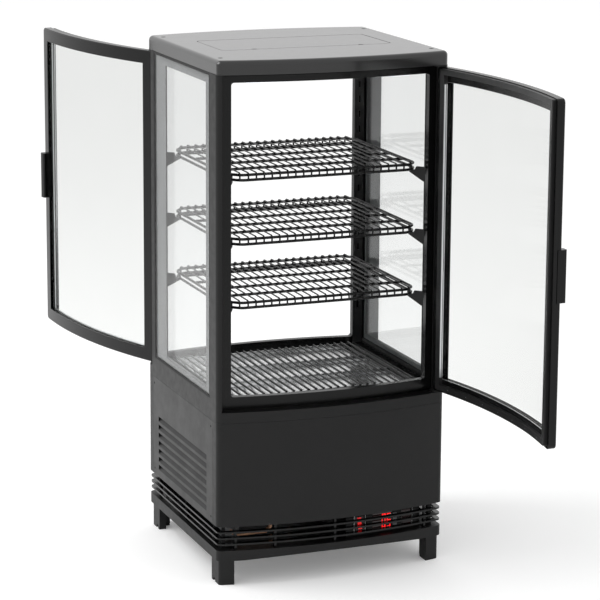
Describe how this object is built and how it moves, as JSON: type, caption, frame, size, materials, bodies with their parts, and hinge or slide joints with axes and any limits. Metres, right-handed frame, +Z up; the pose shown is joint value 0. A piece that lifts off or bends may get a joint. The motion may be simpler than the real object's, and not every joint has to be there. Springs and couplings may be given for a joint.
{
  "type": "refrigerated display case",
  "caption": "Counter-top refrigerated display case, glazed on all sides, with curved front and rear doors standing open, wire shelves and louvred lower panels.",
  "frame": {"origin": "on the supporting surface, under the upright axis of the cabinet, midway between the four feet", "axes": "+Z is up, -Y is the front, and +X is to the right of someone in front of the case"},
  "size_m": [0.5495, 1.1795, 0.921],
  "materials": {
    "black_plastic": "satin black moulding",
    "painted_side": "satin dark grey powder coat",
    "gloss_black": "glossy black profile",
    "door_seal_grey": "soft light grey seal",
    "glazing_rubber": "matt black rubber",
    "clear_glass": "clear, polished",
    "bright_spacer": "bright anodised",
    "bright_floor": "bright brushed",
    "steel_wire": "bright plated wire",
    "steel_strip": "bright plated strip",
    "tub_liner": "white liner",
    "light_diffuser": "opal diffuser",
    "dark_screws": "black screw caps",
    "compressor_paint": "black enamel",
    "coil_fins": "mill finish fins",
    "fan_plastic": "dark moulding",
    "copper_pipe": "bare copper",
    "box_grey": "grey moulding",
    "control_black": "matt black",
    "display_red": "dark red window",
    "rocker_red": "lit red rocker",
    "key_grey": "grey keys"
  },
  "bodies": {
    "cabinet": {"base_tray": "black_plastic", "ceiling_panel": "black_plastic", "chassis_uprights": "steel_strip", "compressor": "compressor_paint", "condenser_coil": "coil_fins", "condenser_fan_shroud": "fan_plastic", "control_panel": "control_black", "controller_display": "display_red", "corner_feet": "black_plastic", "cover_screws": "dark_screws", "deck_plate": "bright_floor", "electrical_box": "box_grey", "evaporator_coil": "coil_fins", "evaporator_fan_motor": "fan_plastic", "evaporator_tub": "tub_liner", "floor_grid": "steel_wire", "front_door_seat": "gloss_black", "front_left_post": "black_plastic", "front_panel": "black_plastic", "front_right_post": "black_plastic", "hinge_brackets": "steel_strip", "left_air_grille": "black_plastic", "left_side_panel": "painted_side", "lid": "black_plastic", "light_strips": "light_diffuser", "mains_gland": "box_grey", "mid_band": "black_plastic", "rear_door_seat": "gloss_black", "rear_left_post": "black_plastic", "rear_panel": "black_plastic", "rear_right_post": "black_plastic", "refrigerant_pipes": "copper_pipe", "right_air_grille": "black_plastic", "right_side_panel": "painted_side", "shelf_clips": "steel_strip", "shelf_uprights": "steel_strip", "side_glass_gaskets": "glazing_rubber", "side_glass_spacers": "bright_spacer", "side_panes": "clear_glass", "skirt_grille": "black_plastic"},
    "front_door": {"front_door_frame": "gloss_black", "front_door_glass": "clear_glass", "front_door_seal": "door_seal_grey", "front_door_handle": "gloss_black"},
    "rear_door": {"rear_door_frame": "gloss_black", "rear_door_glass": "clear_glass", "rear_door_seal": "door_seal_grey", "rear_door_handle": "gloss_black"},
    "lower_shelf_body": {"lower_shelf": "steel_wire"},
    "middle_shelf_body": {"middle_shelf": "steel_wire"},
    "upper_shelf_body": {"upper_shelf": "steel_wire"},
    "hatch_body": {"hatch": "black_plastic"},
    "condenser_fan": {"condenser_fan_rotor": "fan_plastic"},
    "evaporator_fan": {"evaporator_fan_rotor": "fan_plastic"},
    "power_switch": {"power_rocker": "rocker_red"},
    "light_switch": {"light_rocker": "rocker_red"},
    "set_button": {"set_key": "key_grey"},
    "up_button": {"up_key": "key_grey"},
    "down_button": {"down_key": "key_grey"}
  },
  "joints": [
    {"name": "front_door_hinge", "type": "hinge", "parent": "cabinet", "child": "front_door", "pos_m": [0.206, -0.1837, 0.3145], "axis": [0, 0, 1], "range_deg": [-92.3, 17.7]},
    {"name": "rear_door_hinge", "type": "hinge", "parent": "cabinet", "child": "rear_door", "pos_m": [-0.206, 0.1837, 0.3145], "axis": [0, 0, 1], "range_deg": [-101.7, 8.3]},
    {"name": "lower_shelf_lift", "type": "slide", "parent": "cabinet", "child": "lower_shelf_body", "axis": [0, 0, 1], "range_m": [0, 0.03]},
    {"name": "middle_shelf_lift", "type": "slide", "parent": "cabinet", "child": "middle_shelf_body", "axis": [0, 0, 1], "range_m": [0, 0.03]},
    {"name": "upper_shelf_lift", "type": "slide", "parent": "cabinet", "child": "upper_shelf_body", "axis": [0, 0, 1], "range_m": [0, 0.03]},
    {"name": "hatch_lift", "type": "slide", "parent": "cabinet", "child": "hatch_body", "axis": [0, 0, 1], "range_m": [0, 0.03]},
    {"name": "condenser_fan_spin", "type": "hinge", "parent": "cabinet", "child": "condenser_fan", "pos_m": [-0.135, 0, 0.1225], "axis": [1, 0, 0], "continuous": true},
    {"name": "evaporator_fan_spin", "type": "hinge", "parent": "cabinet", "child": "evaporator_fan", "pos_m": [0, 0.08, 0.291], "axis": [0, 0, 1], "continuous": true},
    {"name": "power_rocker_tilt", "type": "hinge", "parent": "cabinet", "child": "power_switch", "pos_m": [0.05174, -0.18579, 0.0847], "axis": [0.9939, 0.1103, 0], "range_deg": [0, 24]},
    {"name": "light_rocker_tilt", "type": "hinge", "parent": "cabinet", "child": "light_switch", "pos_m": [0.14716, -0.1752, 0.0847], "axis": [0.9939, 0.1103, 0], "range_deg": [0, 24]},
    {"name": "set_key_press", "type": "slide", "parent": "cabinet", "child": "set_button", "axis": [-0.1103, 0.9939, 0], "range_m": [0, 0.0008], "stiffness_N_per_m": 300},
    {"name": "up_key_press", "type": "slide", "parent": "cabinet", "child": "up_button", "axis": [-0.1103, 0.9939, 0], "range_m": [0, 0.0008], "stiffness_N_per_m": 300},
    {"name": "down_key_press", "type": "slide", "parent": "cabinet", "child": "down_button", "axis": [-0.1103, 0.9939, 0], "range_m": [0, 0.0008], "stiffness_N_per_m": 300}
  ]
}
